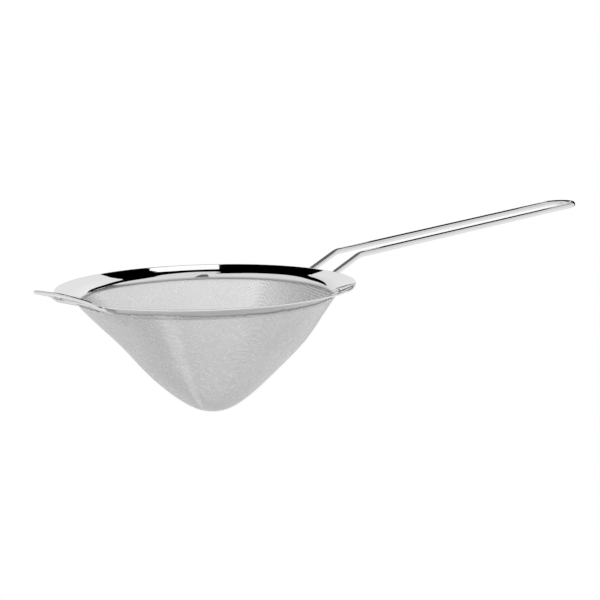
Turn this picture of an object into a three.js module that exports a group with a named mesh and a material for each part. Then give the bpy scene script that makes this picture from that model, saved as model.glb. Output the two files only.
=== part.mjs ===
// Conical wire-cloth strainer: a pressed cone of woven wire round the collar of a dished sheet
// brim, with a long handle and a rest bow bent from round wire and welded under the brim.
// Millimetres, +Z up. The origin is the middle of the brim, level with the top of its outer
// edge, and the handle runs along +X.
import * as THREE from 'three';

// Brim: a sheet ring that rises outwards, its inner edge rolled down into a collar that slopes
// like the cone's lip
const mouthRadius = 50;
const brimWidth = 10;
const brimRise = 2.8;
const brimSheet = 0.7;
const collarDepth = 2.4;
const brimRoll = 7;

// Cone of wire cloth: a lip round the collar and part of the roll, a bowed side and a round
// nose. Its weave is drawn as a coarser grid of bars and rings with about the same share of
// open area.
const clothThickness = 0.5;
const clothBars = 24;
const clothRings = 8;
const clothOpenShare = 0.667;
const noseCapReach = 5.5;
const coneDepth = 47;
const coneLipAngle = THREE.MathUtils.degToRad(33);
const coneNoseAngle = THREE.MathUtils.degToRad(52);
const coneNoseRadius = 19.5;
const lipTurn = THREE.MathUtils.degToRad(17);

// Handle: one wire bent double, with two bends in each leg
const handleWire = 2.6;
const handleSpacing = 15.4;
const handleReach = 168.5;
const handleSlope = THREE.MathUtils.degToRad(4.5);
const kneeReach = 16.2;
const kneeHeight = 5.4;
const handleBend = 12;
const handleEdgeLead = 1.2;

// Rest bow on the other side of the brim
const bowWire = 1.5;
const bowFootSpacing = 25;
const bowEdgeSpacing = 28.4;
const bowEdgeLead = 0.8;
const bowRiseSpacing = 25.2;
const bowRiseReach = 2.9;
const bowRiseHeight = 2;
const bowNoseSpacing = 20.8;
const bowNoseReach = 11.8;
const bowNoseHeight = 4.4;
const bowEdgeBend = 3;
const bowRiseBend = 5;
const bowNoseBend = 7;

// Gaps at the seats of the cloth and of both wires, and beyond the cloth's edge
const seatGap = 0.3;
const footGap = 1.1;

// Grey and roughness of the steels
const polishedSheet = { grey: 0.86, roughness: 0.06 };
const wovenWire = { grey: 0.85, roughness: 0.3 };
const brightWire = { grey: 0.85, roughness: 0.1 };

// Fineness of the faceted surfaces
const stepsAround = 72;
const stepsOnRoll = 6;
const stepsOnLip = 3;
const stepsPerBar = 3;
const wireSides = 10;
const handleStep = 2.5;
const bowStep = 1;
const shortestRun = 1e-6;

// Sizes that follow from the ones above
const brimRadius = mouthRadius + brimWidth;
const brimSlope = Math.atan2(brimRise, brimWidth);
const collarFoot = -brimRise - collarDepth;
const clothDepth = brimSheet + seatGap + clothThickness / 2;
const collarAngle = Math.PI - coneLipAngle;
const ringAngle = Math.PI / 2 + brimSlope;
const lipAngle = collarAngle - lipTurn;

// Height of the top of the brim's sheet, continued past both of its edges
function brimTop(radius) {
  return (radius - brimRadius) * Math.tan(brimSlope);
}

// Height of a line that runs under the brim, square to the sheet by the given depth
function underBrim(radius, depth) {
  return brimTop(radius) - (brimSheet + depth) / Math.cos(brimSlope);
}

// Point in the profile plane behind the foot of the collar, square to its face by a depth
function behindCollar(depth) {
  const foot = new THREE.Vector2(mouthRadius, collarFoot);
  const square = new THREE.Vector2(Math.cos(collarAngle), Math.sin(collarAngle));
  return foot.addScaledVector(square, -depth);
}

// Centre of the roll between the collar and the ring, in the profile plane
function rollCentre() {
  const below = behindCollar(brimRoll);
  const upCollar = new THREE.Vector2(Math.sin(coneLipAngle), Math.cos(coneLipAngle));
  const gap = brimTop(below.x) - brimRoll / Math.cos(brimSlope) - below.y;
  const closing = upCollar.y - upCollar.x * Math.tan(brimSlope);
  return below.addScaledVector(upCollar, gap / closing);
}

// Radius at which the feet of both wires end, clear of the edge of the cloth
function footRadius() {
  const clothBack = brimRoll - clothDepth - clothThickness / 2;
  return rollCentre().x + clothBack * Math.cos(lipAngle) + footGap;
}

// Points of an arc in the profile plane, with both ends
function arcPoints(centre, radius, startAngle, endAngle, steps) {
  const arc = new THREE.EllipseCurve(
    centre.x, centre.y, radius, radius, startAngle, endAngle, endAngle < startAngle);
  return arc.getPoints(steps);
}

// Square direction to the left of the run between two points
function leftOf(from, to) {
  const run = to.clone().sub(from).normalize();
  return new THREE.Vector2(-run.y, run.x);
}

// Line parallel to a run of points, to its left by the given distance
function offsetLine(points, distance) {
  return points.map((point, i) => {
    const before = points[Math.max(i - 1, 0)];
    const after = points[Math.min(i + 1, points.length - 1)];
    const behind = leftOf(before, point === before ? after : point);
    const ahead = leftOf(point === after ? before : point, after);
    const mitre = behind.clone().add(ahead).normalize();
    const moved = point.clone().addScaledVector(mitre, distance / mitre.dot(behind));
    return point.x === 0 ? new THREE.Vector2(0, point.y + distance) : moved;
  });
}

// Sheet of even thickness, revolved about Z from the line through the middle of its section,
// which runs upwards or outwards
function revolvedSheet(middleLine, thickness) {
  const outside = offsetLine(middleLine, -thickness / 2);
  const inside = offsetLine(middleLine, thickness / 2).reverse();
  const outline = [...outside, ...inside, outside[0]];
  return new THREE.LatheGeometry(outline, stepsAround).rotateX(Math.PI / 2);
}

// Sheet of even thickness about Z like the one above, in cells: rows between the points of the
// line, which starts on the axis, and columns between the turns. isOpen picks the cells that
// are openings.
function openworkSheet(middleLine, thickness, turns, isOpen) {
  const faces = [-thickness / 2, thickness / 2].map((offset) => offsetLine(middleLine, offset));
  const points = faces.flatMap((line) => line.flatMap(({ x, y }) => turns.map((turn) => (
    new THREE.Vector3(x * Math.cos(turn), x * Math.sin(turn), y)))));
  const rows = middleLine.length;
  const columns = turns.length;
  const corner = (face, row, column) => (
    (face * rows + row) * columns + (middleLine[row].x === 0 ? 0 : column % columns));
  const isSolid = (row, column) => (
    row >= 0 && row < rows - 1 && !isOpen(row, (column + columns) % columns));

  const triangles = [];
  const addTriangle = (...ids) => {
    if (new Set(ids).size === ids.length) triangles.push(...ids);
  };
  const addQuad = (a, b, c, d) => {
    addTriangle(a, b, c);
    addTriangle(a, c, d);
  };
  const addCell = (row, column) => {
    const around = [[row, column], [row, column + 1], [row + 1, column + 1], [row + 1, column]];
    const beside = [[row - 1, column], [row, column + 1], [row + 1, column], [row, column - 1]];
    const [outside, inside] = [0, 1].map((face) => around.map((spot) => corner(face, ...spot)));
    addQuad(...outside);
    addQuad(...inside.toReversed());
    beside.forEach((cell, i) => {
      const next = (i + 1) % beside.length;
      if (!isSolid(...cell)) addQuad(outside[next], outside[i], inside[i], inside[next]);
    });
  };
  for (let row = 0; row < rows - 1; row += 1) {
    for (let column = 0; column < columns; column += 1) {
      if (isSolid(row, column)) addCell(row, column);
    }
  }
  const geometry = new THREE.BufferGeometry().setFromPoints(points);
  geometry.setIndex(triangles);
  geometry.computeVertexNormals();
  return geometry;
}

// Round turn that joins two straight runs of wire
class WireBend extends THREE.Curve {
  constructor(corner, towardsStart, towardsEnd, reach) {
    super();
    const half = towardsStart.angleTo(towardsEnd) / 2;
    const bisector = towardsStart.clone().add(towardsEnd).normalize();
    this.start = corner.clone().addScaledVector(towardsStart, reach);
    this.end = corner.clone().addScaledVector(towardsEnd, reach);
    this.centre = corner.clone().addScaledVector(bisector, reach / Math.cos(half));
    this.spoke = this.start.clone().sub(this.centre);
    this.heading = towardsStart.clone().multiplyScalar(-this.spoke.length());
    this.sweep = Math.PI - 2 * half;
  }

  getPoint(t, target = new THREE.Vector3()) {
    const angle = t * this.sweep;
    target.copy(this.centre);
    target.addScaledVector(this.spoke, Math.cos(angle));
    return target.addScaledVector(this.heading, Math.sin(angle));
  }
}

// Centre line of a wire through the given corners, each rounded to its own radius or to what
// half of its shorter neighbouring run allows
function wirePath(corners, radii) {
  const path = new THREE.CurvePath();
  let last = corners[0];
  const addRun = (end) => {
    if (last.distanceTo(end) > shortestRun) path.add(new THREE.LineCurve3(last, end));
  };
  for (let i = 1; i < corners.length - 1; i += 1) {
    const corner = corners[i];
    const towardsStart = corners[i - 1].clone().sub(corner);
    const towardsEnd = corners[i + 1].clone().sub(corner);
    const room = Math.min(towardsStart.length(), towardsEnd.length()) / 2;
    const half = towardsStart.angleTo(towardsEnd) / 2;
    const reach = Math.min(radii[i - 1] / Math.tan(half), room);
    const bend = new WireBend(corner, towardsStart.normalize(), towardsEnd.normalize(), reach);
    addRun(bend.start);
    path.add(bend);
    last = bend.end;
  }
  addRun(corners[corners.length - 1]);
  return path;
}

// Round wire along a path in steps of about the given length, cut square at both ends
function wireAlong(path, diameter, step) {
  const section = new THREE.Shape().absarc(0, 0, diameter / 2, 0, 2 * Math.PI);
  return new THREE.ExtrudeGeometry(section, {
    curveSegments: wireSides / 2,
    steps: Math.round(path.getLength() / step),
    extrudePath: path,
    bevelEnabled: false,
  });
}

// Corners of one leg and its mirror image across the XZ plane, as one run
function mirroredCorners(leg) {
  const mirror = leg.map((corner) => new THREE.Vector3(corner.x, -corner.y, corner.z));
  return [...leg, ...mirror.reverse()];
}

// Corner of a wire of the given diameter that lies under the brim. side is +1 towards +X and
// -1 towards -X.
function cornerUnderBrim(side, radius, y, wire) {
  const x = Math.sqrt(radius ** 2 - y ** 2);
  return new THREE.Vector3(side * x, y, underBrim(radius, seatGap + wire / 2));
}

// Brim: collar, roll and dished ring in one sheet
function brimGeometry() {
  const middleRoll = brimRoll - brimSheet / 2;
  const middleLine = [
    behindCollar(brimSheet / 2),
    ...arcPoints(rollCentre(), middleRoll, collarAngle, ringAngle, stepsOnRoll),
    new THREE.Vector2(brimRadius, underBrim(brimRadius, -brimSheet / 2)),
  ];
  return revolvedSheet(middleLine, brimSheet);
}

// Line through the middle of the cone's wall, from its nose on the axis to its shoulder
function conePath() {
  const shoulder = behindCollar(clothDepth);
  const noseHeight = collarFoot - coneDepth + coneNoseRadius;
  const nose = new THREE.EllipseCurve(
    0, noseHeight, coneNoseRadius, coneNoseRadius, -Math.PI / 2, -coneNoseAngle);
  const flank = nose.getPoint(1);
  const drop = shoulder.y - flank.y;
  const lipRun = Math.tan(coneLipAngle);
  const noseRun = Math.tan(coneNoseAngle);
  const controlDrop = (noseRun * drop - (shoulder.x - flank.x)) / (noseRun - lipRun);
  const control = new THREE.Vector2(shoulder.x - lipRun * controlDrop, shoulder.y - controlDrop);
  const path = new THREE.CurvePath();
  path.add(nose);
  path.add(new THREE.QuadraticBezierCurve(flank, control, shoulder));
  return path;
}

// Wire-cloth cone: a closed nose, rows of openings with a ring above each, and a closed lip
function coneGeometry() {
  const path = conePath();
  const length = path.getLength();
  const ringPitch = (length - noseCapReach) / clothRings;
  const marks = [0, noseCapReach / 2, noseCapReach];
  const openRows = new Set();
  for (let above = clothRings - 1; above >= 0; above -= 1) {
    const ringTop = length - above * ringPitch;
    openRows.add(marks.length - 1);
    marks.push(ringTop - ringPitch * (1 - clothOpenShare), ringTop);
  }
  const middleLine = marks.map((mark) => path.getPoint(mark / length));
  middleLine[0].x = 0;
  const lipRoll = brimRoll - clothDepth;
  middleLine.push(...arcPoints(rollCentre(), lipRoll, collarAngle, lipAngle, stepsOnLip));

  const barPitch = 2 * Math.PI / clothBars;
  const halfBar = barPitch * (1 - clothOpenShare) / 2;
  const turns = Array.from({ length: clothBars }, (_, i) => i * barPitch).flatMap((turn) => (
    [turn - halfBar, turn + halfBar, turn + barPitch / 2]));
  const isOpen = (row, column) => openRows.has(row) && column % stepsPerBar !== 0;
  return openworkSheet(middleLine, clothThickness, turns, isOpen);
}

// Handle: up from the brim, over the knee and out to the round end
function handleGeometry() {
  const y = handleSpacing / 2;
  const rise = (handleReach - kneeReach) * Math.tan(handleSlope);
  const corners = mirroredCorners([
    cornerUnderBrim(1, footRadius(), y, handleWire),
    cornerUnderBrim(1, brimRadius + handleEdgeLead, y, handleWire),
    new THREE.Vector3(brimRadius + kneeReach, y, kneeHeight),
    new THREE.Vector3(brimRadius + handleReach, y, kneeHeight + rise),
  ]);
  const radii = [handleBend, handleBend, y, y, handleBend, handleBend];
  return wireAlong(wirePath(corners, radii), handleWire, handleStep);
}

// Rest bow: two feet under the brim, a rise past its edge and a loop that closes in to its nose
function bowGeometry() {
  const corners = mirroredCorners([
    cornerUnderBrim(-1, footRadius(), bowFootSpacing / 2, bowWire),
    cornerUnderBrim(-1, brimRadius + bowEdgeLead, bowEdgeSpacing / 2, bowWire),
    new THREE.Vector3(-brimRadius - bowRiseReach, bowRiseSpacing / 2, bowRiseHeight),
    new THREE.Vector3(-brimRadius - bowNoseReach, bowNoseSpacing / 2, bowNoseHeight),
  ]);
  const bends = [bowEdgeBend, bowRiseBend, bowNoseBend];
  return wireAlong(wirePath(corners, [...bends, ...bends.toReversed()]), bowWire, bowStep);
}

// Bare steel with the given grey and roughness
function steel({ grey, roughness }) {
  const color = new THREE.Color(grey, grey, grey);
  return new THREE.MeshStandardMaterial({ color, metalness: 1, roughness });
}

// Named piece of the strainer
function piece(name, geometry, material) {
  const mesh = new THREE.Mesh(geometry, material);
  mesh.name = name;
  return mesh;
}

const strainer = new THREE.Group();
strainer.add(
  piece('brim', brimGeometry(), steel(polishedSheet)),
  piece('mesh_cone', coneGeometry(), steel(wovenWire)),
  piece('handle_wire', handleGeometry(), steel(brightWire)),
  piece('rest_bow', bowGeometry(), steel(brightWire)),
);

export default strainer;
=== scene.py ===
import math

import bpy
import numpy as np
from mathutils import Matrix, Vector


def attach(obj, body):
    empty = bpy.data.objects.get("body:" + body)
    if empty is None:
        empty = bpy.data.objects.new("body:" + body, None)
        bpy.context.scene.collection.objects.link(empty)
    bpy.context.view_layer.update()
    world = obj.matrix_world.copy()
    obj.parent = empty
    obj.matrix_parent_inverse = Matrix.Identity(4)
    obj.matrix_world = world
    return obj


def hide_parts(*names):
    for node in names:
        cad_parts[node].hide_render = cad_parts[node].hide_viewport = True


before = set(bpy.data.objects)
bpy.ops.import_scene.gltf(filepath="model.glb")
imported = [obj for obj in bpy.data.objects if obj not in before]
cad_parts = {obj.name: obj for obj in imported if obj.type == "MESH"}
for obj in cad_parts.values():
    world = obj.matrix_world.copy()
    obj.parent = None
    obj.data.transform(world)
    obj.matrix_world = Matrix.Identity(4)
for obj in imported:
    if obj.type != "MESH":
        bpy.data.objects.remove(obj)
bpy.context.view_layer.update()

MM = 0.001

# Brim, in millimetres like all sizes of the pieces
MOUTH_RADIUS = 50.0
BRIM_WIDTH = 10.0
BRIM_RISE = 2.8
BRIM_SHEET = 0.7
COLLAR_DEPTH = 2.4
COLLAR_SLOPE = math.radians(33)
BRIM_ROLL = 7.0
EDGE_ROUND = 0.28
BRIM_DISH = 0.05
EDGE_TURN = 0.06
EDGE_START = 0.88  # share of the ring's width at which its edge starts to turn down

# Cone of wire cloth
CLOTH_THICKNESS = 0.5
CONE_DEPTH = 46.6
CONE_LIP_ANGLE = math.radians(38)
CONE_NOSE_ANGLE = math.radians(63)
CONE_NOSE_RADIUS = 17.8
LIP_TURN = math.radians(17)
LIP_GAP = 0.1
MESH_PITCH = 0.7
MESH_WIRE = 0.26
CREASES = tuple(math.radians(a) for a in (-142.0, -58.5, 25.0, 121.5))

# Lean of the cloth, which use has pushed out of true: a tilt, and a bulge at some depth
LEAN_HEADING = math.radians(-35.3)
LEAN_TILT = 0.035
LEAN_BULGE = 1.6
BULGE_DEPTH = 17.1
BULGE_SPREAD = 10.5

# Handle
HANDLE_WIRE = 2.6
HANDLE_SPACING = 15.4
HANDLE_REACH = 168.5
HANDLE_SLOPE = math.radians(4.5)
KNEE_REACH = 16.2
KNEE_HEIGHT = 5.4
HANDLE_BEND = 12.0
HANDLE_EDGE_LEAD = 1.2

# Rest bow: the far leg first, then the near one, which is splayed; corners as x, y and z
BOW_WIRE = 1.5
BOW_FOOT_Y = (12.5, -14.0)
BOW_EDGE_Y = (14.2, -17.8)
BOW_EDGE_LEAD = (0.8, 0.4)
BOW_RISE = ((-62.9, 12.6, 2.0), (-64.1, -15.4, 1.5))
BOW_NOSE = ((-71.8, 10.4, 4.4), (-71.6, -10.6, 4.6))
BOW_BENDS = ((3.0, 5.0, 7.0), (3.0, 12.0, 7.0))
BOW_TWIST = -0.041
TWIST_RUN = 3.0

# Feet of both wires
FOOT_GAP = 0.6
WELD_SINK = 0.06

# Fineness of the meshes
BRIM_STEPS = 360
ROLL_STEPS = 24
RING_STOPS = (0.03, 0.1, 0.2, 0.3, 0.4, 0.5, 0.6, 0.7, 0.8, 0.86, 0.9, 0.93, 0.96, 0.98, 1.0)
EDGE_POINTS = 5
HANDLE_STEP, HANDLE_SIDES = 1.5, 32
BOW_STEP, BOW_SIDES = 0.6, 24
BEND_STEP = 0.12
NOSE_STEPS, FLANK_POINTS, LIP_STEPS = 120, 400, 40
CLOTH_SIDES = 6
CLOTH_MOST_FACES = 90000

BRIM_RADIUS = MOUTH_RADIUS + BRIM_WIDTH
BRIM_SLOPE = math.atan2(BRIM_RISE, BRIM_WIDTH)
COLLAR_FOOT = -BRIM_RISE - COLLAR_DEPTH
CLOTH_DEPTH = BRIM_SHEET + LIP_GAP + CLOTH_THICKNESS / 2
COLLAR_ANGLE = math.pi - COLLAR_SLOPE
RING_ANGLE = math.pi / 2 + BRIM_SLOPE
LIP_ANGLE = COLLAR_ANGLE - LIP_TURN


# Profile of the brim


def brim_top(radius):
    """Height of the top of the brim's sheet, continued past both of its edges."""
    return (radius - BRIM_RADIUS) * math.tan(BRIM_SLOPE)


def under_brim(radius, depth):
    """Height of a line that runs under the brim, square to the sheet by the given depth."""
    return brim_top(radius) - (BRIM_SHEET + depth) / math.cos(BRIM_SLOPE)


def behind_collar(depth):
    """Point of the profile behind the foot of the collar, square to its face by the given depth."""
    x = MOUTH_RADIUS - depth * math.cos(COLLAR_ANGLE)
    return x, COLLAR_FOOT - depth * math.sin(COLLAR_ANGLE)


def roll_centre():
    """Centre of the roll between the collar and the ring."""
    x, z = behind_collar(BRIM_ROLL)
    up = (math.sin(COLLAR_SLOPE), math.cos(COLLAR_SLOPE))
    gap = brim_top(x) - BRIM_ROLL / math.cos(BRIM_SLOPE) - z
    run = gap / (up[1] - up[0] * math.tan(BRIM_SLOPE))
    return x + up[0] * run, z + up[1] * run


def arc(centre, radius, start, end, steps):
    """Points of an arc in the profile plane, with both ends."""
    return [
        (centre[0] + radius * math.cos(a), centre[1] + radius * math.sin(a))
        for a in np.linspace(start, end, steps + 1)
    ]


# Meshes


def new_object(name, data):
    """Object in the scene from a mesh or a camera."""
    obj = bpy.data.objects.new(name, data)
    bpy.context.scene.collection.objects.link(obj)
    return obj


def mesh_object(name, verts, quads, uvs, caps=()):
    """Smooth mesh from metre vertices, quads with one UV per corner, and end caps."""
    mesh = bpy.data.meshes.new(name)
    mesh.from_pydata(verts, [], [*quads, *caps])
    layer = mesh.uv_layers.new(name="OFBake")
    flat = np.zeros((len(mesh.loops), 2), np.float32)
    flat[: 4 * len(quads)] = np.asarray(uvs, np.float32).reshape(-1, 2)
    layer.data.foreach_set("uv", flat.ravel())
    mesh.shade_smooth()
    mesh.update()
    return new_object(name, mesh)


def grid_faces(rows, columns, close_columns):
    """Quads over a grid of points, with the UV of each corner."""
    across = columns if close_columns else columns - 1
    row, column = np.meshgrid(np.arange(rows - 1), np.arange(across), indexing="ij")
    row, column = row.ravel(), column.ravel()
    beside = (column + 1) % columns
    quads = np.stack(
        [row * columns + column, row * columns + beside,
         (row + 1) * columns + beside, (row + 1) * columns + column], 1)
    u = np.stack([row, row, row + 1, row + 1], 1) / (rows - 1)
    v = np.stack([column, column + 1, column + 1, column], 1) / across
    return quads, np.stack([u, v], 2)


def unit(vectors):
    """Rows of vectors brought to length 1."""
    return vectors / np.linalg.norm(vectors, axis=1)[:, None]


def lathe(name, outline, steps):
    """Closed profile in millimetres, revolved about Z."""
    outline = np.asarray(outline)
    angle = np.linspace(0, 2 * math.pi, steps, endpoint=False)
    verts = np.stack(
        [np.outer(np.cos(angle), outline[:, 0]),
         np.outer(np.sin(angle), outline[:, 0]),
         np.tile(outline[:, 1], (steps, 1))], 2) * MM
    quads, uvs = grid_faces(steps + 1, len(outline), True)
    quads = quads % (steps * len(outline))
    return mesh_object(name, verts.reshape(-1, 3).tolist(), quads.tolist(), uvs)


def sheet_outline(middle, thickness, edge):
    """Outline of a bent sheet of even thickness, both of its cut edges rounded."""
    middle = np.asarray(middle, float)
    run = unit(np.diff(middle, axis=0))
    ahead = np.vstack([run, run[-1:]])
    behind = np.vstack([run[:1], run])
    mitre = unit(ahead + behind)
    left = np.stack([-mitre[:, 1], mitre[:, 0]], 1)
    left /= (mitre * ahead).sum(1)[:, None]
    side_a = middle - left * thickness / 2
    side_b = middle + left * thickness / 2

    def rounded(corner, inward, along):
        """Points of a corner's round, from the sheet's face to its cut edge."""
        centre = corner + inward * edge + along * edge
        return [
            centre - inward * edge * math.cos(t) - along * edge * math.sin(t)
            for t in np.linspace(0, math.pi / 2, EDGE_POINTS)
        ]

    start_in, start_along = left[0], ahead[0]
    end_in, end_along = left[-1], -behind[-1]
    return np.vstack([
        rounded(side_a[0], start_in, start_along)[::-1],
        side_a[1:-1],
        rounded(side_a[-1], end_in, end_along),
        rounded(side_b[-1], -end_in, end_along)[::-1],
        side_b[-2:0:-1],
        rounded(side_b[0], -start_in, start_along),
    ])


def tube(points, along, square, diameter, sides):
    """Metre vertices of the circles about a line's points, and the faces of its two cut ends."""
    third = np.cross(along, square)
    angle = np.linspace(0, 2 * math.pi, sides, endpoint=False)
    ring = (np.cos(angle)[None, :, None] * square[:, None]
            + np.sin(angle)[None, :, None] * third[:, None])
    verts = (points[:, None] + ring * diameter / 2) * MM
    first = np.arange(sides)
    return verts.reshape(-1, 3), [first[::-1], first + (len(points) - 1) * sides]


def wire(name, points, diameter, sides):
    """Round wire along a line of points in millimetres, its cut ends closed."""
    points = np.asarray(points, float)
    along = unit(np.gradient(points, axis=0))
    square = np.zeros_like(points)
    square[0] = np.cross(along[0], (0.0, 1.0, 0.0))
    for i in range(1, len(points)):
        square[i] = square[i - 1] - along[i] * square[i - 1].dot(along[i])
        square[i] /= np.linalg.norm(square[i])
    square[0] /= np.linalg.norm(square[0])
    verts, caps = tube(points, along, square, diameter, sides)
    quads, uvs = grid_faces(len(points), sides, True)
    return mesh_object(name, verts.tolist(), quads.tolist(), uvs, [c.tolist() for c in caps])


def bent_line(corners, radii, step):
    """Points of a line through corners, each rounded to its radius or to what its runs allow."""
    corners = [np.asarray(c, float) for c in corners]
    points = [corners[0]]

    def run_to(end):
        """Straight run of points to an end, unless the line is already there."""
        start = points[-1]
        run = np.linalg.norm(end - start)
        if run > step / 100:
            count = max(1, round(run / step))
            points.extend(start + (end - start) * k / count for k in range(1, count + 1))

    for i in range(1, len(corners) - 1):
        before = corners[i - 1] - corners[i]
        after = corners[i + 1] - corners[i]
        room = min(np.linalg.norm(before), np.linalg.norm(after)) / 2
        before /= np.linalg.norm(before)
        after /= np.linalg.norm(after)
        half = math.acos(max(-1.0, min(1.0, before.dot(after)))) / 2
        reach = min(radii[i - 1] / math.tan(half), room)
        radius = reach * math.tan(half)
        bisector = (before + after) / np.linalg.norm(before + after)
        centre = corners[i] + bisector * reach / math.cos(half)
        start = corners[i] + before * reach
        run_to(start)
        spoke = start - centre
        sweep = math.pi - 2 * half
        count = max(4, math.ceil(radius * sweep / step * 2), math.ceil(sweep / BEND_STEP))
        for k in range(1, count + 1):
            a = sweep * k / count
            points.append(centre + spoke * math.cos(a) - before * radius * math.sin(a))
    run_to(corners[-1])
    return points


# Wire cloth


def cloth_profile():
    """Arc length, radius and height along the cone's middle line, from its nose to past its lip."""
    centre = (0.0, COLLAR_FOOT - CONE_DEPTH + CONE_NOSE_RADIUS)
    nose = arc(centre, CONE_NOSE_RADIUS, -math.pi / 2, -CONE_NOSE_ANGLE, NOSE_STEPS)
    flank = np.array(nose[-1])
    shoulder = np.array(behind_collar(CLOTH_DEPTH))
    drop = shoulder[1] - flank[1]
    lip_run, nose_run = math.tan(CONE_LIP_ANGLE), math.tan(CONE_NOSE_ANGLE)
    control_drop = (nose_run * drop - (shoulder[0] - flank[0])) / (nose_run - lip_run)
    control = shoulder - np.array((lip_run, 1.0)) * control_drop
    t = np.linspace(0, 1, FLANK_POINTS)[1:, None]
    side = (1 - t) ** 2 * flank + 2 * (1 - t) * t * control + t ** 2 * shoulder
    lip = arc(roll_centre(), BRIM_ROLL - CLOTH_DEPTH, COLLAR_ANGLE, RING_ANGLE, LIP_STEPS)
    line = np.vstack([nose, side, lip])
    line[0, 0] = 0.0
    length = np.concatenate([[0], np.cumsum(np.linalg.norm(np.diff(line, axis=0), axis=1))])
    return length, line[:, 0], line[:, 1]


def net_quarter(profile, start, end, count, limit):
    """Knots of a cloth net over one quarter of the cone: the first axis runs along the crease at
    start, the second along the crease at end, and every mesh side keeps its length."""
    length, radius, height = profile
    first_guess, rounds, small = 0.4 * MESH_PITCH, 12, 1e-4

    def place(s, turn):
        r = np.interp(s, length, radius)
        return np.stack([r * np.cos(turn), r * np.sin(turn), np.interp(s, length, height)], -1)

    knots = np.full((count + 1, count + 1, 3), np.nan)
    s_of = np.full((count + 1, count + 1), np.nan)
    line = np.arange(count + 1) * MESH_PITCH
    line[line > limit] = np.nan
    knots[:, 0], knots[0, :] = place(line, start), place(line, end)
    s_of[:, 0], s_of[0, :] = line, line
    for d in range(2, 2 * count + 1):
        i = np.arange(max(1, d - count), min(count, d - 1) + 1)
        j = d - i
        a, b = knots[i - 1, j], knots[i, j - 1]
        ok = np.isfinite(a[:, 0]) & np.isfinite(b[:, 0])
        if not ok.any():
            continue
        i, j, a, b = i[ok], j[ok], a[ok], b[ok]
        guess = a + b - knots[i - 1, j - 1]
        turn = np.arctan2(guess[:, 1], guess[:, 0])
        middle = (start + end) / 2
        turn = middle + (turn - middle + math.pi) % (2 * math.pi) - math.pi
        s = np.maximum(s_of[i - 1, j], s_of[i, j - 1]) + first_guess
        for _ in range(rounds):
            p = place(s, turn)
            fa = ((p - a) ** 2).sum(1) - MESH_PITCH ** 2
            fb = ((p - b) ** 2).sum(1) - MESH_PITCH ** 2
            ds = (place(s + small, turn) - p) / small
            dt = (place(s, turn + small) - p) / small
            m11, m12 = 2 * ((p - a) * ds).sum(1), 2 * ((p - a) * dt).sum(1)
            m21, m22 = 2 * ((p - b) * ds).sum(1), 2 * ((p - b) * dt).sum(1)
            det = m11 * m22 - m12 * m21
            det[det == 0] = np.nan  # past the end of the cloth there is no knot
            s = s - (m22 * fa - m12 * fb) / det
            turn = turn - (m11 * fb - m21 * fa) / det
        s[s > limit] = np.nan
        knots[i, j] = place(s, turn)
        s_of[i, j] = s
    return knots


def softened(net):
    """Net with its kinks at the creases eased along both axes."""
    for axis in (0, 1):
        wide = np.moveaxis(net, axis, 0)
        mid = (wide[:-4] + 4 * wide[1:-3] + 6 * wide[2:-2] + 4 * wide[3:-1] + wide[4:]) / 16
        wide = wide.copy()
        wide[2:-2] = mid
        net = np.moveaxis(wide, 0, axis)
    return net


def lean(height):
    """Sideways shift of the cloth at a height."""
    depth = COLLAR_FOOT - height
    bulge = LEAN_BULGE * np.exp(-(((depth - BULGE_DEPTH) / BULGE_SPREAD) ** 2))
    return LEAN_TILT * np.maximum(depth, 0) + bulge


def cloth_net():
    """Knots of the whole cloth as a square grid about the nose, eased at the creases, with the
    surface's outward direction at each."""
    profile = cloth_profile()
    length, radius, height = profile
    lip_top = roll_centre()[1] + (BRIM_ROLL - CLOTH_DEPTH) * math.sin(LIP_ANGLE)
    count = math.ceil(length[-1] / MESH_PITCH) + 2
    net = np.full((2 * count + 1, 2 * count + 1, 3), np.nan)
    turns = [*CREASES, CREASES[0] + 2 * math.pi]
    limit = length[-1] - MESH_PITCH
    quarters = [net_quarter(profile, turns[q], turns[q + 1], count, limit) for q in range(4)]
    net[count:, count:] = quarters[0]
    net[count::-1, count:] = quarters[1].transpose(1, 0, 2)
    net[count::-1, count::-1] = quarters[2]
    net[count:, count::-1] = quarters[3].transpose(1, 0, 2)
    net = softened(net)
    net[net[:, :, 2] > lip_top] = np.nan
    flat = np.hypot(net[:, :, 0], net[:, :, 1])
    slope_r = np.gradient(radius, length)
    slope_z = np.gradient(height, length)
    s = np.interp(flat, radius, length)
    out_r, out_z = np.interp(s, length, slope_z), -np.interp(s, length, slope_r)
    outward = net[:, :, :2] / np.maximum(flat, 1e-6)[:, :, None]
    shift = lean(net[:, :, 2])
    net[:, :, 0] += math.cos(LEAN_HEADING) * shift
    net[:, :, 1] += math.sin(LEAN_HEADING) * shift
    return net, np.concatenate([outward * out_r[:, :, None], out_z[:, :, None]], 2)


def woven_wires(net, out, over):
    """Centre lines of the wires along the net's first axis, over and under the crossing ones."""
    lines = []
    for k in range(net.shape[1]):
        rows = np.flatnonzero(np.isfinite(net[:, k, 0]))
        if len(rows) < 3:
            continue
        rows = np.arange(rows[0], rows[-1] + 1)
        knots, away = net[rows, k], out[rows, k]
        wave = np.where((rows + k) % 2 == 0, over, -over) * MESH_WIRE / 2
        points = np.zeros((2 * len(rows) - 1, 3))
        points[::2] = knots + away * wave[:, None]
        points[1::2] = (knots[1:] + knots[:-1]) / 2
        square = np.zeros_like(points)
        square[::2] = away
        square[1::2] = (away[1:] + away[:-1]) / 2
        lines.append((points, square))
    return lines


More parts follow.
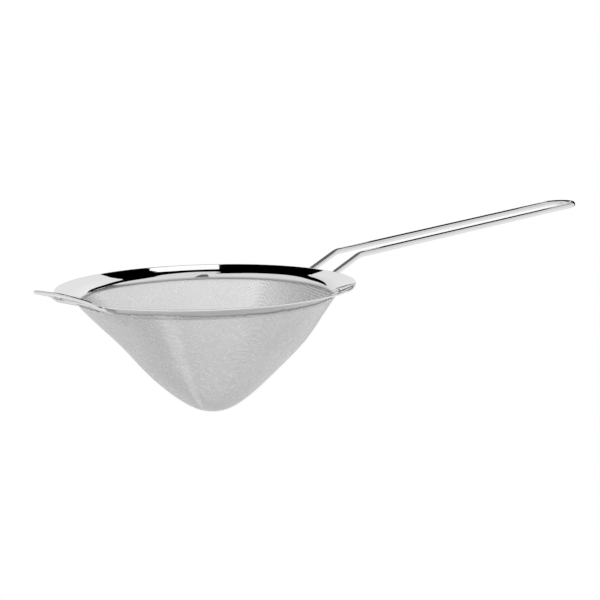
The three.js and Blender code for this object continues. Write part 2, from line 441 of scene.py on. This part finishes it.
def cloth_pieces(name, lines):
    """Wires as tubes, gathered into objects with a limited number of quads each."""
    groups, faces = [[]], 0
    for line in lines:
        size = (len(line[0]) - 1) * CLOTH_SIDES
        if faces + size > CLOTH_MOST_FACES:
            groups.append([])
            faces = 0
        groups[-1].append(line)
        faces += size
    made = []
    for n, group in enumerate(groups, 1):
        verts, quads, uvs, caps, base = [], [], [], [], 0
        for row, (points, square) in enumerate(group):
            along = unit(np.gradient(points, axis=0))
            square = unit(square - along * (square * along).sum(1)[:, None])
            ring_verts, ends = tube(points, along, square, MESH_WIRE, CLOTH_SIDES)
            ring_quads, ring_uvs = grid_faces(len(points), CLOTH_SIDES, True)
            verts.append(ring_verts)
            quads.append(ring_quads + base)
            uvs.append((ring_uvs + (0, row)) / (1, len(group)))
            caps += [(end + base).tolist() for end in ends]
            base += len(ring_verts)
        made.append(mesh_object(f"{name}_{n}", np.vstack(verts).tolist(),
                                np.vstack(quads).tolist(), np.vstack(uvs), caps))
    return made


# Materials

STEEL_TINT = (0.88, 0.88, 0.88, 1)
MARK_DEPTH = 0.0001
CLOUD_SHARE = 12  # how much larger the cloudy tones are than the fine marks

# The underside, by the way it faces: rougher, and greyer as painted shade; and a band of painted
# shade at the foot of the collar, by its height in metres, with a roughness of its own
UNDER_BAND = (-0.1, -0.5)
UNDER_SHADE_TONE, UNDER_ROUGHNESS = 0.82, 0.5
FOOT_SHADE_BAND = (-0.0042, -0.0048)
FOOT_SHADE_TONE, FOOT_BAND_ROUGHNESS = 0.5, 0.35

# Painted light round the cone by azimuth in degrees: four quarters lit differently, and a painted
# highlight along one crease
CLOTH_PAINTED_LIGHT = (
    (-179, 0.86), (-147, 0.86), (-143.5, 1.0), (-140, 1.0), (-136.5, 0.89), (-61, 0.89),
    (-56, 0.8), (22, 0.8), (29, 1.0), (119, 1.0), (124, 0.86), (179, 0.86))


def new_material(name):
    """Node material and its tree."""
    material = bpy.data.materials.new(name)
    material.use_nodes = True
    return material, material.node_tree


def node(tree, kind, **inputs):
    """New node with the given inputs: numbers are set, sockets are linked."""
    made = tree.nodes.new(kind)
    for key, value in inputs.items():
        socket = made.inputs[key.replace("_", " ")]
        if isinstance(value, bpy.types.NodeSocket):
            tree.links.new(value, socket)
        else:
            socket.default_value = value
    return made


def combined(tree, operation, first, second):
    """Result of a Math node over two sockets."""
    made = tree.nodes.new("ShaderNodeMath")
    made.operation = operation
    tree.links.new(first, made.inputs[0])
    tree.links.new(second, made.inputs[1])
    return made.outputs[0]


def ramp(tree, value, low, high, from_low=0.3, from_high=0.7):
    """A value mapped to a range, from the usual range of a noise or a given one."""
    made = node(tree, "ShaderNodeMapRange", Value=value, From_Min=from_low, From_Max=from_high,
                To_Min=low, To_Max=high)
    return made.outputs["Result"]


def grey(tree, value):
    """A number as a neutral colour."""
    made = node(tree, "ShaderNodeCombineColor", Red=value, Green=value, Blue=value)
    return made.outputs["Color"]


def shade_and_dull_below(tree, tone, roughness):
    """The sheet's underside is rougher, and painted shade greys it; a band of painted shade, with a
    roughness of its own, lies at the foot of the collar.
    """
    place = node(tree, "ShaderNodeTexCoord")
    height = node(tree, "ShaderNodeSeparateXYZ", Vector=place.outputs["Object"]).outputs["Z"]
    facing = node(tree, "ShaderNodeSeparateXYZ", Vector=place.outputs["Normal"]).outputs["Z"]
    tone = ramp(tree, facing, tone, UNDER_SHADE_TONE, *UNDER_BAND)
    roughness = ramp(tree, facing, roughness, UNDER_ROUGHNESS, *UNDER_BAND)
    return (ramp(tree, height, tone, FOOT_SHADE_TONE, *FOOT_SHADE_BAND),
            ramp(tree, height, roughness, FOOT_BAND_ROUGHNESS, *FOOT_SHADE_BAND))


def painted_quarter_light(tree, tone, roughness):
    """Painted light: the cloth's four quarters are toned for the light each takes, and one crease
    carries a painted highlight.
    """
    place = node(tree, "ShaderNodeTexCoord").outputs["Object"]
    sides = node(tree, "ShaderNodeSeparateXYZ", Vector=place)
    azimuth = combined(tree, "ARCTAN2", sides.outputs["Y"], sides.outputs["X"])
    around = ramp(tree, azimuth, 0.0, 1.0, -math.pi, math.pi)
    stops = node(tree, "ShaderNodeValToRGB", Fac=around)
    elements = stops.color_ramp.elements
    for degrees, level in CLOTH_PAINTED_LIGHT:
        elements.new(degrees / 360 + 0.5).color = (level, level, level, 1)
    elements.remove(elements[0])
    elements.remove(elements[-1])
    return combined(tree, "MULTIPLY", tone, stops.outputs["Color"]), roughness


def steel(name, tone, roughness, grain, stretch, dent, painted_light_and_finish=None):
    """Bare steel with faint marks: noise of the given grain per metre, stretched along each axis,
    and, where given, painted light and shade, and changes of roughness, from place to place."""
    material, tree = new_material(name)
    surface = tree.nodes["Principled BSDF"]
    surface.inputs["Metallic"].default_value = 1.0
    surface.inputs["Specular Tint"].default_value = STEEL_TINT
    place = node(tree, "ShaderNodeTexCoord").outputs["Object"]
    scaled = node(tree, "ShaderNodeMapping", Vector=place, Scale=stretch).outputs["Vector"]
    marks = node(tree, "ShaderNodeTexNoise", Vector=scaled, Scale=grain, Detail=4.0)
    cloud = node(tree, "ShaderNodeTexNoise", Vector=place, Scale=grain / CLOUD_SHARE, Detail=2.0)
    tone = ramp(tree, cloud.outputs["Fac"], *tone)
    roughness = ramp(tree, marks.outputs["Fac"], *roughness)
    if painted_light_and_finish:
        tone, roughness = painted_light_and_finish(tree, tone, roughness)
    tree.links.new(grey(tree, tone), surface.inputs["Base Color"])
    tree.links.new(roughness, surface.inputs["Roughness"])
    bump = node(tree, "ShaderNodeBump", Strength=dent, Distance=MARK_DEPTH,
                Height=marks.outputs["Fac"])
    tree.links.new(bump.outputs["Normal"], surface.inputs["Normal"])
    return material


# The polished sheet carries painted shade on its underside and collar foot; the woven cloth carries
# painted light by quarter
polished = steel("polished_sheet", tone=(0.85, 0.88), roughness=(0.01, 0.02), grain=900.0,
                 stretch=(1, 1, 1), dent=0.004, painted_light_and_finish=shade_and_dull_below)
bright = steel("bright_wire", tone=(0.8, 0.84), roughness=(0.03, 0.06), grain=700.0,
               stretch=(0.15, 1, 1), dent=0.01)
cloth = steel("woven_wire", tone=(0.94, 0.99), roughness=(0.24, 0.36), grain=500.0,
              stretch=(1, 1, 1), dent=0.02, painted_light_and_finish=painted_quarter_light)


# Pieces


def finish_piece(obj, node_name, material):
    """The piece takes its CAD node's place."""
    obj.data.materials.append(material)
    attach(obj, "root")
    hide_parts(node_name)


def build_brim():
    """Collar, roll and dished ring, bent from one strip of sheet."""
    middle = [behind_collar(BRIM_SHEET / 2)]
    middle += arc(roll_centre(), BRIM_ROLL - BRIM_SHEET / 2, COLLAR_ANGLE, RING_ANGLE, ROLL_STEPS)
    ring_start = np.array(middle[-1])
    ring_end = np.array((BRIM_RADIUS, under_brim(BRIM_RADIUS, -BRIM_SHEET / 2)))
    for t in RING_STOPS:
        x, z = ring_start + (ring_end - ring_start) * t
        turned = max(0, (t - EDGE_START) / (1 - EDGE_START))
        middle.append((x, z + BRIM_DISH * t ** 2 - EDGE_TURN * turned ** 2))
    return lathe("brim_ring", sheet_outline(middle, BRIM_SHEET, EDGE_ROUND), BRIM_STEPS)


def foot_radius():
    """Radius at which the wires' feet end, clear of the cloth's lip."""
    return roll_centre()[0] + (BRIM_ROLL - CLOTH_DEPTH) * math.cos(LIP_ANGLE) + FOOT_GAP


def under_corner(side, radius, y, diameter):
    """Corner of a wire that is welded under the brim."""
    height = under_brim(radius, diameter / 2 - WELD_SINK)
    return (side * math.sqrt(radius ** 2 - y ** 2), y, height)


def build_handle():
    """Wire bent double, from foot to foot round the hanging loop."""
    half_gap = HANDLE_SPACING / 2
    end_rise = (HANDLE_REACH - KNEE_REACH) * math.tan(HANDLE_SLOPE)
    leg = [
        under_corner(1, foot_radius(), half_gap, HANDLE_WIRE),
        under_corner(1, BRIM_RADIUS + HANDLE_EDGE_LEAD, half_gap, HANDLE_WIRE),
        (BRIM_RADIUS + KNEE_REACH, half_gap, KNEE_HEIGHT),
        (BRIM_RADIUS + HANDLE_REACH, half_gap, KNEE_HEIGHT + end_rise),
    ]
    corners = [*leg, *[(x, -y, z) for x, y, z in reversed(leg)]]
    bends = [HANDLE_BEND, HANDLE_BEND, half_gap, half_gap, HANDLE_BEND, HANDLE_BEND]
    return wire("handle_loop", bent_line(corners, bends, HANDLE_STEP), HANDLE_WIRE, HANDLE_SIDES)


def build_bow():
    """Thinner wire from foot to foot round the nose, twisted a little where it leaves the brim."""
    legs = [
        [under_corner(-1, foot_radius(), BOW_FOOT_Y[k], BOW_WIRE),
         under_corner(-1, BRIM_RADIUS + BOW_EDGE_LEAD[k], BOW_EDGE_Y[k], BOW_WIRE),
         BOW_RISE[k], BOW_NOSE[k]]
        for k in (0, 1)
    ]
    corners = [*legs[0], *reversed(legs[1])]
    line = np.array(bent_line(corners, [*BOW_BENDS[0], *reversed(BOW_BENDS[1])], BOW_STEP))
    past_edge = np.clip((-line[:, 0] - BRIM_RADIUS) / TWIST_RUN, 0, 1)
    line[:, 2] += BOW_TWIST * line[:, 1] * past_edge
    return wire("bow_loop", line, BOW_WIRE, BOW_SIDES)


def build_cloth():
    """Warp and weft of the cone."""
    net, out = cloth_net()
    warp = woven_wires(net, out, 1)
    weft = woven_wires(net.transpose(1, 0, 2), out.transpose(1, 0, 2), -1)
    return cloth_pieces("cloth_warp", warp) + cloth_pieces("cloth_weft", weft)


finish_piece(build_brim(), "brim", polished)
finish_piece(build_handle(), "handle_wire", bright)
finish_piece(build_bow(), "rest_bow", bright)
for piece in build_cloth():
    finish_piece(piece, "mesh_cone", cloth)


# Studio: directions are degrees to the right of the view and up, places and distances are metres

VIEW_AZIMUTH = math.radians(54.72)
CARD_DISTANCE, PANEL_DISTANCE = 30.0, 29.0
GREY_CARD, WHITE_CARD = 0.15, 1.2

# Dark frame over the window, from its left foot over the top to its right foot: each row is a
# direction on its outer edge, on its middle line and on its inner edge
DARK_FRAME = (
    ((-27, 16), (-26.5, 16), (-26, 16)), ((-31, 21), (-28, 21), (-25, 21)),
    ((-36, 27), (-30, 27), (-24.7, 27)), ((-41.5, 33), (-33, 33), (-23.8, 33)),
    ((-43, 38), (-33, 37.5), (-21.6, 37.2)), ((-42.5, 46), (-30, 42), (-17.2, 37)),
    ((-45.5, 54), (-27, 46), (-14.5, 36)), ((-51, 60), (-23, 50), (-12.4, 34.6)),
    ((-57, 66), (-19, 53), (-10, 33)), ((-66, 72), (-16, 55), (-8.1, 31.3)),
    ((-78, 76.5), (-13, 56), (-6.2, 29.5)), ((-95, 80), (-11, 57), (-4.5, 27.7)),
    ((-108, 83), (-9, 57.5), (-3.6, 26.7)), ((-85, 86), (-7, 58), (-3.1, 26.2)),
    ((-50, 84.5), (-4, 58), (-1, 26.5)), ((-33, 80.5), (-1, 58), (0.5, 27)),
    ((-20, 76), (2, 58), (2, 28)), ((-8, 71.5), (5, 58), (3.5, 29.4)),
    ((8, 70.5), (8, 58), (4.2, 30.4)), ((18, 70.5), (12, 58), (5, 31.5)),
    ((28, 71), (16, 58), (8.9, 35.9)), ((36, 70.5), (21, 58), (13.5, 39.9)),
    ((43, 69.5), (27, 58), (19.2, 43.5)), ((50, 69), (33, 58), (26.1, 47.1)),
    ((57, 68.5), (39, 58.5), (30, 48.7)), ((64, 68), (46, 59), (34.2, 50)),
    ((70, 67), (53, 59), (38.5, 50.8)), ((75, 66), (58, 58), (42.4, 50.7)),
    ((77, 60), (60, 54), (44.5, 48)), ((72, 54), (58, 50), (44.8, 45.5)),
    ((66, 47), (56, 44.5), (45, 42)), ((62.5, 40), (54, 39), (44.6, 38)),
    ((58, 34.5), (50, 34), (42, 34)), ((53, 30), (46, 30), (38.5, 30)),
    ((46, 25.5), (40, 25.5), (35, 25.5)), ((40, 21), (36, 21), (32.3, 21)),
    ((34, 17), (32.5, 17), (31, 17)))
FRAME_ROWS = 13

STAND_AZIMUTHS, STAND_ELEVATIONS = (164, 184), (58, 70, 82)
PANEL_AZIMUTHS, PANEL_ELEVATIONS = (-0.9, 3.3), (36.8, 41)

# Small dark cards near the wires
BOW_FLAG = (((-20, 8), (-8, 27), (3, 56), (40, 74), (95, 76), (125, 66)),
            ((10, 4), (18, 18), (42, 34), (55, 40), (75, 42), (105, 38)))
BOW_FLAG_CENTRE = (-0.066, -0.012, 0.002)
BOW_FLAG_DISTANCE = 0.06
HANDLE_FLAG_X, HANDLE_FLAG_RISE = (0.176, 0.325), 0.012
HANDLE_FLAG_YZ = ((0.104, 0.072), (-0.004, 0.132), (-0.045, 0.123))
FOOT_FLAG_X, FOOT_FLAG_Y, FOOT_FLAG_Z = (0.069, 0.1), (-0.06, 0.045), 0.061
END_FLAG_XY, END_FLAG_Z = ((0.31, -0.01), (0.29, 0.07)), (-0.01, 0.06)

# The sky is brightest towards one direction, by the cosine of the angle to it
SKY_BRIGHT = (30, 0)
SKY_LEVELS = (0.78, 1.0)
SKY_BAND = (0.5, 0.95)

FLOOR_HALF = 8.0
FLOOR_HEIGHT = -0.25
FLOOR_TONE = 0.9
FLOOR_ROUGHNESS = 0.9
FLOOR_FADE = (0.14, 0.26)
FLOOR_LEVELS = (1.0, 0.94)  # to the camera and in reflections

CAMERA_PLACE = (-0.28160, -0.39797, 0.07307)
CAMERA_TURN = tuple(math.radians(a) for a in (80.631, 0.969, -39.845))
CAMERA_LENS, CAMERA_SENSOR = 73.58, 36.0
CAMERA_CLIP = 0.01


def emitter(name, strength):
    """Plain light-giving or black material for cards."""
    material, tree = new_material(name)
    tree.nodes.clear()
    glow = node(tree, "ShaderNodeEmission", Strength=strength)
    out = tree.nodes.new("ShaderNodeOutputMaterial")
    tree.links.new(glow.outputs["Emission"], out.inputs["Surface"])
    return material


def direction(azimuth, elevation):
    """Unit vector of a direction."""
    a, e = VIEW_AZIMUTH - math.radians(azimuth), math.radians(elevation)
    return (math.cos(a) * math.cos(e), math.sin(a) * math.cos(e), math.sin(e))


def screen(rows, distance, centre=(0, 0, 0)):
    """Rows of directions as points at a distance from a centre."""
    return [[Vector(centre) + Vector(direction(*spot)) * distance for spot in row] for row in rows]


def patch(azimuths, elevations):
    """Rows of directions over a part of the sky."""
    return [[(a, e) for a in azimuths] for e in elevations]


def card(name, rows, material):
    """Studio card through rows of points, which only shows in reflections."""
    quads, _ = grid_faces(len(rows), len(rows[0]), False)
    mesh = bpy.data.meshes.new(name)
    mesh.from_pydata([point for row in rows for point in row], [], quads.tolist())
    mesh.materials.append(material)
    obj = new_object(name, mesh)
    obj.visible_camera = False
    obj.visible_diffuse = False


def frame_row(t):
    """Directions along the dark frame: 0 is its outer edge, 1 its middle line, 2 its inner edge."""
    return [[np.interp(t, (0, 1, 2), part) for part in zip(*spots)] for spots in DARK_FRAME]


def hang_cards():
    """What the polished steel mirrors besides the sky and the floor."""
    black = emitter("black_card", 0.0)
    dark_grey = emitter("grey_card", GREY_CARD)
    white = emitter("white_card", WHITE_CARD)
    frame_rows = [frame_row(t) for t in np.linspace(0, 2, FRAME_ROWS)]
    card("dark_frame", screen(frame_rows, CARD_DISTANCE), black)
    stand = patch(STAND_AZIMUTHS, STAND_ELEVATIONS)
    card("grey_stand", screen(stand, CARD_DISTANCE), dark_grey)
    card("flag_bow", screen(BOW_FLAG, BOW_FLAG_DISTANCE, BOW_FLAG_CENTRE), black)
    card("flag_handle",
         [[(x, y, z + k * HANDLE_FLAG_RISE) for k, x in enumerate(HANDLE_FLAG_X)]
          for y, z in HANDLE_FLAG_YZ], black)
    card("flag_foot", [[(x, y, FOOT_FLAG_Z) for x in FOOT_FLAG_X] for y in FOOT_FLAG_Y], dark_grey)
    card("flag_end", [[(*spot, z) for spot in END_FLAG_XY] for z in END_FLAG_Z], black)
    panel = patch(PANEL_AZIMUTHS, PANEL_ELEVATIONS)
    card("panel_behind", screen(panel, PANEL_DISTANCE), white)


def light_sky():
    """Sky that is plain white to the camera and dims away from its bright side elsewhere."""
    world = bpy.data.worlds.new("studio")
    bpy.context.scene.world = world
    world.use_nodes = True
    tree = world.node_tree
    sky = tree.nodes["Background"]
    sky.inputs["Color"].default_value = (1, 1, 1, 1)
    across = node(tree, "ShaderNodeVectorMath")
    across.operation = "DOT_PRODUCT"
    tree.links.new(node(tree, "ShaderNodeTexCoord").outputs["Generated"], across.inputs[0])
    across.inputs[1].default_value = direction(*SKY_BRIGHT)
    level = ramp(tree, across.outputs["Value"], *SKY_LEVELS, *SKY_BAND)
    seen = node(tree, "ShaderNodeLightPath").outputs["Is Camera Ray"]
    tree.links.new(combined(tree, "MAXIMUM", level, seen), sky.inputs["Strength"])


def lay_floor():
    """Pale floor that keeps the shadow under the object and fades to white further out."""
    mesh = bpy.data.meshes.new("floor")
    low, high = -FLOOR_HALF, FLOOR_HALF
    mesh.from_pydata([(low, low, 0), (high, low, 0), (high, high, 0), (low, high, 0)], [],
                     [(0, 1, 2, 3)])
    floor = new_object("floor", mesh)
    floor.location.z = FLOOR_HEIGHT
    material, tree = new_material("pale_floor")
    mesh.materials.append(material)
    paint = tree.nodes["Principled BSDF"]
    paint.inputs["Base Color"].default_value = (FLOOR_TONE, FLOOR_TONE, FLOOR_TONE, 1)
    paint.inputs["Roughness"].default_value = FLOOR_ROUGHNESS
    rays = node(tree, "ShaderNodeLightPath").outputs
    seen = combined(tree, "MAXIMUM", rays["Is Camera Ray"], rays["Is Glossy Ray"])
    reach = node(tree, "ShaderNodeVectorMath")
    reach.operation = "LENGTH"
    tree.links.new(node(tree, "ShaderNodeTexCoord").outputs["Object"], reach.inputs[0])
    far = node(tree, "ShaderNodeMapRange", Value=reach.outputs["Value"],
               From_Min=FLOOR_FADE[0], From_Max=FLOOR_FADE[1])
    far.interpolation_type = "SMOOTHSTEP"
    share = combined(tree, "MULTIPLY", seen, far.outputs["Result"])
    level = ramp(tree, rays["Is Glossy Ray"], *FLOOR_LEVELS, 0, 1)
    glow = node(tree, "ShaderNodeEmission", Strength=level)
    blend = node(tree, "ShaderNodeMixShader", Fac=share)
    tree.links.new(paint.outputs["BSDF"], blend.inputs[1])
    tree.links.new(glow.outputs["Emission"], blend.inputs[2])
    tree.links.new(blend.outputs["Shader"], tree.nodes["Material Output"].inputs["Surface"])


def place_camera():
    """Camera at the photograph's place."""
    data = bpy.data.cameras.new("camera")
    data.sensor_width = CAMERA_SENSOR
    data.lens = CAMERA_LENS
    data.clip_start = CAMERA_CLIP
    camera = new_object("camera", data)
    camera.location = CAMERA_PLACE
    camera.rotation_euler = CAMERA_TURN
    bpy.context.scene.camera = camera


hang_cards()
light_sky()
lay_floor()
place_camera()
bpy.context.scene.view_settings.view_transform = "Standard"
